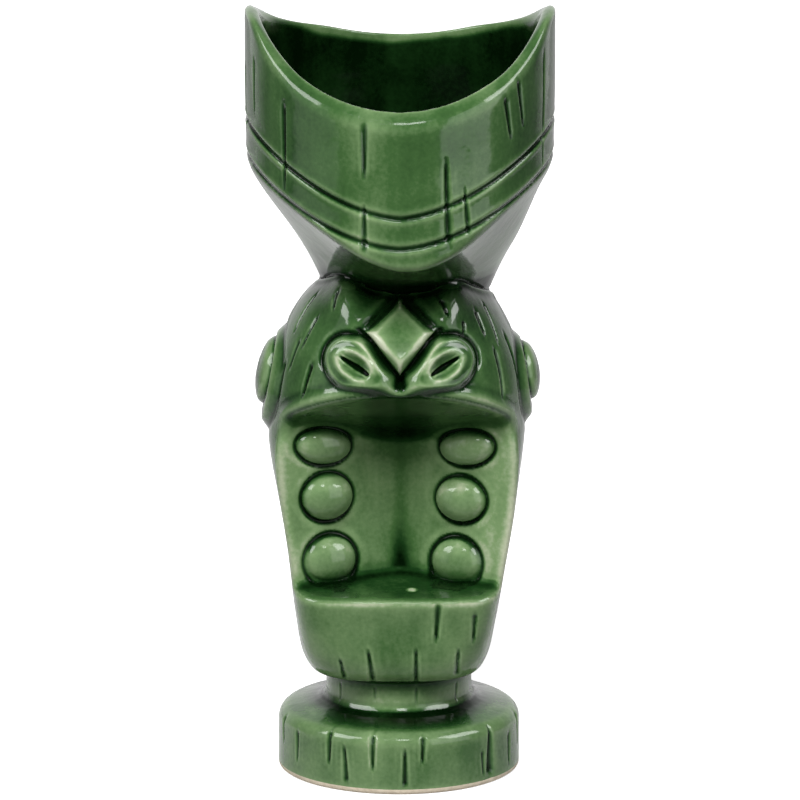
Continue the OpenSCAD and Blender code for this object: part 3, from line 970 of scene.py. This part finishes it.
def head_glaze_and_light(p):
    """Dark beside the nose, in the neck's crease and on top of the head, thin on the nose. The front of the
    neck under the crown and the right temple are darkened as painted shade, and the kite's side corners are
    paled as painted highlights.
    """
    x, y, z = p.T
    h = z - BODY_Z
    front = y < 0
    upper, lower = kite_edges(x, z)
    past_kite = np.maximum(upper, lower)
    border = bump(past_kite + 0.2, 0.9) * front
    inside_kite = (past_kite < 0) * front * (z < NECK_Z)
    beside = bump(lower - 0.9, 0.7) * beside_kite(z) * front
    pit = bump(x, 1.7) * bump(z - KITE_LOW + 2.4, 2.4) * (y < -20)
    # painted highlights: the kite's side corners are paled
    corner_highlights = bump(np.hypot(np.abs(x) - KITE_HALF + 1.8, z - KITE_MIDDLE + 1.6), 2.6) * front
    collar = neck_distance(x, y, z)
    crease = neck_front(y, z) * bump(collar - 0.2, 0.9)
    # painted shadow: the front of the neck under the crown's prow is darkened
    neck = step(collar, 1.6, 0.5) * step(z, FUNNEL_Z + 7, FUNNEL_Z) * (z > NECK_Z - 5) * (y < NECK_Y)
    head = (z < NECK_Z + 1) * step(y, 10, 2)
    top = head * step(h, 90, 102)
    # painted shade: the right side of the head's top is darkened
    right_temple_shade = head * step(x, 9, 18) * step(h, 80, 90) * step(x, 34, 30)
    sides = step(z, FUNNEL_Z + 8, FUNNEL_Z + 18) * step(np.abs(x), 21, 30)
    return (0.2 * border + 0.25 * beside + 0.45 * pit - 0.35 * corner_highlights - 0.18 * inside_kite
            + 0.4 * crease + 0.08 * neck + 0.1 * top + 0.1 * right_temple_shade + 0.06 * sides)


def tooth_glaze_and_highlights(p):
    """A dark ring round each tooth, and two pale patches near its top that are painted highlights."""
    amount = np.zeros(len(p))
    for name in TEETH:
        u, v, w = tooth_coordinates(p, name)
        away = np.hypot(u, v) - TOOTH_R
        ring = 0.18 * bump(away - 0.3, 0.5) - 0.04 * bump(away - 2.0, 0.9)
        amount += ring * bump(w - 0.4, 2.4) - 0.09 * step(away, 0, -1) * (np.abs(w) < 8)
        inwards = -np.sign(TEETH[name][0])
        # painted highlights: two pale patches near the tooth's top
        for across, above in ((-0.15 * inwards, 0.66), (0.58 * inwards, 0.5)):
            highlight_patch = np.hypot(u - across * TOOTH_R, v + above * TOOTH_R)
            amount -= 0.15 * bump(highlight_patch, 1.8) * (np.abs(w - 3) < 4)
    return amount


def foot_glaze_and_shade(p, n):
    """Dark on the front of the foot disc's top, thin on its side, darker again at its top edge. The stem is
    paler, less so near its top, where the darkening is painted shade under the head.
    """
    x, y, z = p.T
    h = z - BODY_Z
    rho = np.hypot(x, y)
    pool = step(n[:, 2], 0.6, 0.9) * step(rho, 29, 25) * (h < -1) * step(np.abs(x), 24, 13)
    side = step(h, -3, -6) * step(rho, 22, 26)
    side = side - 0.8 * bump(z - BASE_TOP + 1.5, 1.8) * step(rho, 25, 28)
    # paler stem, darkened near its top as painted shade under the head
    stem = bump(rho - STEM_R, 0.9) * step(z - BASE_TOP, 1.5, 3.5) * step(h, 1.6, 0)
    return 0.4 * pool - 0.13 * side + stem * (0.26 * step(h, -3, 0) - 0.4)


def inside_glaze_and_shade(p):
    """Dark green to near black on the drink side, pooled glaze deepened as painted shade inside the cup, up
    to a thin, pale, wavy line at the rim.
    """
    x, y, z = p.T
    angle = np.arctan2(x, -y)
    wave = 0.5 * np.sin(5 * angle) + 0.35 * np.sin(11 * angle + 1) + 0.2 * np.sin(23 * angle)
    rim = TOP_Z - RIM_DIP + RIM_TILT * step(y, -20, 40)
    below = np.hypot(x, z - rim - SADDLE_R) - SADDLE_R
    # painted shade: below the rim the inside is darkened to near black
    return 0.34 + 0.58 * step(below + 0.5 * wave, 1.2, 3.0)


THIN = 0.32    # thinner glaze than this is evened out


def glaze_and_painted_light(points, normal, on_clay):
    """How thick the glaze lies, with painted shade and painted highlights added to it: 0 where it has run
    thin, 1 where it pools.
    """
    amount = np.full(len(points), 0.5)
    shown = on_clay & (np.abs(sample(hollow, points)) > 0.6)
    p, n = points[shown], normal[shown]
    # near and far darken the surface where it is closed in, at 4 and 12 mm: partly pooled glaze, partly
    # painted shade
    near = 1 - np.clip(sample(clay, p + 4.0 * n) / 4.0, 0, 1)
    far = 1 - np.clip(sample(clay, p + 12.0 * n) / 12.0, 0, 1)
    amount[shown] += 0.2 * near + 0.1 * far - 1.2 * bend(p, n, 0.8) - 0.7 * bend(p, n, 2.4)
    amount[shown] += nostril_glaze(p) + mouth_glaze_and_shade(p, n) + head_glaze_and_light(p) + tooth_glaze_and_highlights(p) + foot_glaze_and_shade(p, n)
    hidden = on_clay & ~shown
    amount[hidden] = inside_glaze_and_shade(points[hidden])
    amount = np.where(amount < THIN, THIN - 0.75 * (THIN - amount), amount)
    return np.clip(amount, 0, 1)


def shelter(points):
    """1 on the walls deep in the mouth, where little is mirrored in the glaze, 0 elsewhere."""
    x, y, z = points.T
    return step(mouth(x, y, z), 0.8, 0.1) * step(y, -24, -18) * (y < 0)


# a coarse grid round the mug, to find each piece's surroundings
COARSE = 4.0
MARGIN = 6.0
coarse_low = np.array([-CROWN_R, -CROWN_R, 0]) - MARGIN
coarse_size = np.array([CROWN_R, CROWN_R, TOP_Z]) + MARGIN - coarse_low
coarse_points = grid_points(coarse_low, COARSE, grid_cells(np.ceil(coarse_size / COARSE).astype(int)))
coarse_clay = sample(clay, coarse_points)


def store(mesh, name, values):
    """Keeps one number for each vertex, for the materials to read."""
    layer = mesh.attributes.new(name, "FLOAT", "POINT")
    layer.data.foreach_set("value", values.astype(np.float32))


def build(name, voxel, zone):
    """One piece as a Blender mesh."""
    about = coarse_points[np.maximum(coarse_clay, sample(zone, coarse_points)) < 4.5]
    vertices, faces, clay_share = surface_net(zone, about.min(0) - 2.1, about.max(0) + 2.1, voxel)
    keep = largest_part(len(vertices), faces)
    faces = faces[keep[faces[:, 0]]]
    faces = (np.cumsum(keep) - 1)[faces]
    vertices, on_clay = settle(vertices[keep], zone, voxel, clay_share[keep])
    mesh = bpy.data.meshes.new(name)
    mesh.vertices.add(len(vertices))
    mesh.vertices.foreach_set("co", (vertices * MM).astype(np.float32).ravel())
    mesh.loops.add(faces.size)
    mesh.loops.foreach_set("vertex_index", faces.astype(np.int32).ravel())
    mesh.polygons.add(len(faces))
    mesh.polygons.foreach_set("loop_start", np.arange(0, faces.size, 4, dtype=np.int32))
    mesh.update(calc_edges=True)
    mesh.validate()
    mesh.shade_smooth()
    clay_slope = value_and_slope(clay, vertices)[1]
    zone_slope = value_and_slope(zone, vertices)[1]
    normal = np.where(on_clay[:, None], clay_slope, zone_slope)
    normal /= np.maximum(np.linalg.norm(normal, axis=1), 1e-6)[:, None]
    mesh.normals_split_custom_set_from_vertices(normal)
    # pool holds the glaze thickness together with painted shade and painted highlights
    store(mesh, "pool", glaze_and_painted_light(vertices, normal, on_clay))
    store(mesh, "shelter", shelter(vertices) * ("tooth" not in name))
    store(mesh, "bare", 1 - step(vertices[:, 2], 0.7, 1.2))
    piece = bpy.data.objects.new(name, mesh)
    bpy.context.scene.collection.objects.link(piece)
    return piece


# ---------- materials

class Graph:
    """Short ways to add nodes to a material or to the world."""

    def __init__(self, tree):
        self.nodes, self.links = tree.nodes, tree.links

    def add(self, kind, inputs, output):
        """A node with its inputs set or linked, by name or number. Gives one output."""
        node = self.nodes.new(kind)
        for name, value in inputs.items():
            self.put(value, node.inputs[name])
        return node.outputs[output]

    def put(self, value, socket):
        """Links another node's output to a socket, or sets the socket's value."""
        if isinstance(value, bpy.types.NodeSocket):
            self.links.new(value, socket)
        else:
            socket.default_value = value

    def maths(self, operation, *values):
        result = self.add("ShaderNodeMath", dict(enumerate(values)), 0)
        result.node.operation = operation
        return result

    def noise(self, where, scale, detail):
        return self.add("ShaderNodeTexNoise", {"Vector": where, "Scale": scale, "Detail": detail}, "Fac")

    def bumps(self, height, strength, distance):
        inputs = {"Height": height, "Strength": strength, "Distance": distance}
        return self.add("ShaderNodeBump", inputs, "Normal")

    def attribute(self, name):
        """A number that is stored on the vertices."""
        result = self.add("ShaderNodeAttribute", {}, "Fac")
        result.node.attribute_name = name
        return result

    def ramp(self, value, stops):
        """A colour ramp. Each stop is (position, colour), or (position, brightness) for a grey."""
        result = self.add("ShaderNodeValToRGB", {"Fac": value}, "Color")
        elements = result.node.color_ramp.elements
        while len(elements) < len(stops):
            elements.new(0.5)
        for element, (position, colour) in zip(elements, stops):
            element.position = position
            element.color = (*colour, 1) if isinstance(colour, tuple) else (colour, colour, colour, 1)
        return result

    def mix(self, share, first, second):
        """A mix of two colours."""
        node = self.nodes.new("ShaderNodeMix")
        node.data_type = "RGBA"
        for number, value in ((0, share), (6, first), (7, second)):
            self.put(value, node.inputs[number])
        return node.outputs[2]


def new_material(name):
    """A material, its graph and the inputs of its shader."""
    material = bpy.data.materials.new(name)
    material.use_nodes = True
    return material, Graph(material.node_tree), material.node_tree.nodes["Principled BSDF"].inputs


# colours from thin glaze or painted highlight to pooled glaze or painted shade, and across the grain of the
# bare clay
GLAZE_STOPS = [(0.0, (0.44, 0.48, 0.34)), (0.2, (0.17, 0.27, 0.12)), (0.48, (0.046, 0.112, 0.032)),
               (0.72, (0.009, 0.038, 0.008)), (1.0, (0.001, 0.006, 0.001))]
CLAY_STOPS = [(0.3, (0.52, 0.44, 0.33)), (0.7, (0.66, 0.58, 0.46))]


def green_glaze():
    """Gloss glaze, pale where it is thin or a highlight is painted, dark where it pools or shade is painted,
    that ends in bare clay at the foot.
    """
    material, graph, shader = new_material("green_glaze")
    where = graph.add("ShaderNodeTexCoord", {}, "Object")
    stretched = graph.add("ShaderNodeMapping", {"Vector": where, "Scale": (1, 1, 0.1)}, "Vector")
    blotches = graph.noise(where, 55, 5)
    runs = graph.noise(stretched, 150, 2)
    specks = graph.noise(where, 900, 2)
    # pool carries glaze thickness with painted shade and painted highlights
    amount = graph.attribute("pool")
    for pattern, strength in ((blotches, 0.44), (runs, 0.26), (specks, 0.16)):
        amount = graph.maths("ADD", amount, graph.maths("MULTIPLY_ADD", pattern, strength, -strength / 2))
    green = graph.ramp(amount, GLAZE_STOPS)
    cream = graph.ramp(specks, CLAY_STOPS)
    bare = graph.attribute("bare")
    rough = graph.maths("MULTIPLY_ADD", blotches, 0.10, 0.06)
    shine = graph.add("ShaderNodeMapRange", {"Value": amount, "From Min": 0.62, "From Max": 0.95,
                                             "To Min": 0.5, "To Max": 0.16}, "Result")
    dull = graph.maths("MULTIPLY_ADD", graph.attribute("shelter"), -0.93, 1.0)
    graph.put(graph.mix(bare, green, cream), shader["Base Color"])
    graph.put(graph.maths("MULTIPLY_ADD", bare, 0.6, rough), shader["Roughness"])
    graph.put(graph.maths("MULTIPLY", shine, dull), shader["Specular IOR Level"])
    graph.put(1.5, shader["IOR"])
    graph.put(graph.bumps(graph.noise(where, 190, 2), 0.25, 0.0005), shader["Normal"])
    return material


def bare_clay():
    """Matt, grainy, cream coloured clay."""
    material, graph, shader = new_material("bare_clay")
    grain = graph.noise(graph.add("ShaderNodeTexCoord", {}, "Object"), 700, 5)
    graph.put(graph.ramp(grain, CLAY_STOPS), shader["Base Color"])
    graph.put(graph.maths("MULTIPLY_ADD", grain, 0.2, 0.7), shader["Roughness"])
    graph.put(graph.bumps(grain, 0.4, 0.0003), shader["Normal"])
    return material


# ---------- the pieces

DETAIL = 1.0
materials = {"green_glaze": green_glaze(), "bare_clay": bare_clay()}

for node, (zone, voxel) in ZONES.items():
    piece = build(f"{node}_glazed", voxel * DETAIL, zone)
    slot = "bare_clay" if node == "foot_ring" else "green_glaze"
    piece.data.materials.append(materials[slot])
    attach(piece, "root")
    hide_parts(node)

# ---------- floor, light and camera


def pale_floor():
    """Matt and nearly white to the camera. The glaze mirrors it dark in front of the mug, pale behind."""
    material, graph, shader = new_material("floor")
    seen = graph.add("ShaderNodeLightPath", {}, "Is Camera Ray")
    place = graph.add("ShaderNodeSeparateXYZ", {0: graph.add("ShaderNodeTexCoord", {}, "Object")}, "Y")
    behind = graph.maths("MAXIMUM", seen, graph.maths("MULTIPLY_ADD", place, 8.0, 0.65))
    graph.put(graph.ramp(behind, [(0.0, 0.13), (1.0, 0.95)]), shader["Base Color"])
    graph.put(0.9, shader["Roughness"])
    graph.put(0.1, shader["Specular IOR Level"])
    graph.put((1, 1, 1, 1), shader["Emission Color"])
    graph.put(graph.maths("MULTIPLY", seen, 0.9), shader["Emission Strength"])
    return material


def lay_floor(left, right, front, back):
    """A flat floor at height 0, in metres."""
    mesh = bpy.data.meshes.new("floor")
    corners = [(left, front, 0), (right, front, 0), (right, back, 0), (left, back, 0)]
    mesh.from_pydata(corners, [], [(0, 1, 2, 3)])
    mesh.materials.append(pale_floor())
    item = bpy.data.objects.new("floor", mesh)
    bpy.context.scene.collection.objects.link(item)


lay_floor(-0.45, 0.45, -0.38, 1.2)


def softbox(name, azimuth, elevation, distance, width, height, radiance, lights=True, mirrored=True):
    """A panel facing the mug, with azimuth 0 in front and 90 to the right. It lights the mug, is
    mirrored in the glaze, or both."""
    a, e = math.radians(azimuth), math.radians(elevation)
    middle = Vector((0, 0, 0.1))
    away = Vector((math.sin(a) * math.cos(e), -math.cos(a) * math.cos(e), math.sin(e)))
    lamp = bpy.data.lights.new(name, "AREA")
    lamp.shape = "RECTANGLE"
    lamp.size = width
    lamp.size_y = height
    lamp.energy = radiance * math.pi * width * height
    item = bpy.data.objects.new(name, lamp)
    item.visible_diffuse = lights
    item.visible_glossy = mirrored
    item.location = middle + distance * away
    item.rotation_euler = away.to_track_quat("Z", "Y").to_euler()
    bpy.context.scene.collection.objects.link(item)


softbox("panel_left", -66, 8, 1.25, 0.9, 1.5, 0.5)
softbox("panel_right", 50, 8, 1.25, 0.96, 1.6, 1.5, lights=False)
softbox("window_left", -68, 38, 1.4, 0.85, 0.6, 7, lights=False)
softbox("window_right", 72, 38, 1.4, 0.85, 0.6, 7, lights=False)
softbox("window_front", 6, 46, 1.5, 0.26, 0.2, 10, lights=False)
softbox("main_light", -6, 52, 1.5, 0.6, 0.6, 25, mirrored=False)
softbox("low_light", 0, 4, 1.6, 1.0, 0.6, 3.7, mirrored=False)


def studio_world():
    """White to the camera. In the glaze it is bright behind the mug, dim in front and dimmer above."""
    world = bpy.data.worlds.new("studio")
    world.use_nodes = True
    graph = Graph(world.node_tree)
    direction = graph.add("ShaderNodeTexCoord", {}, "Generated")
    backwards = graph.add("ShaderNodeSeparateXYZ", {0: direction}, "Y")
    upwards = backwards.node.outputs["Z"]
    brightness = graph.ramp(graph.maths("MULTIPLY_ADD", backwards, 0.5, 0.5),
                            [(0.10, 0.07), (0.74, 0.16), (0.90, 1.0)])
    dimmer = graph.ramp(upwards, [(0.25, 1.0), (0.7, 0.4)])
    seen = graph.add("ShaderNodeLightPath", {}, "Is Camera Ray")
    shown = graph.mix(seen, graph.maths("MULTIPLY", brightness, dimmer), (1, 1, 1, 1))
    graph.put(shown, world.node_tree.nodes["Background"].inputs["Color"])
    return world


CAMERA_TILT = math.radians(15)
CAMERA_DISTANCE = 6.0
CAMERA_TARGET = Vector((0, 0, 0.0982))
LENS = 1036.7


def aim_camera():
    """A camera in front of the mug that looks down on it a little."""
    camera = bpy.data.objects.new("camera", bpy.data.cameras.new("camera"))
    camera.data.lens = LENS
    toward = Vector((0, -math.cos(CAMERA_TILT), math.sin(CAMERA_TILT)))
    camera.location = CAMERA_TARGET + CAMERA_DISTANCE * toward
    camera.rotation_euler = toward.to_track_quat("Z", "Y").to_euler()
    bpy.context.scene.collection.objects.link(camera)
    return camera


bpy.context.scene.world = studio_world()
bpy.context.scene.view_settings.view_transform = "Standard"
bpy.context.scene.camera = aim_camera()
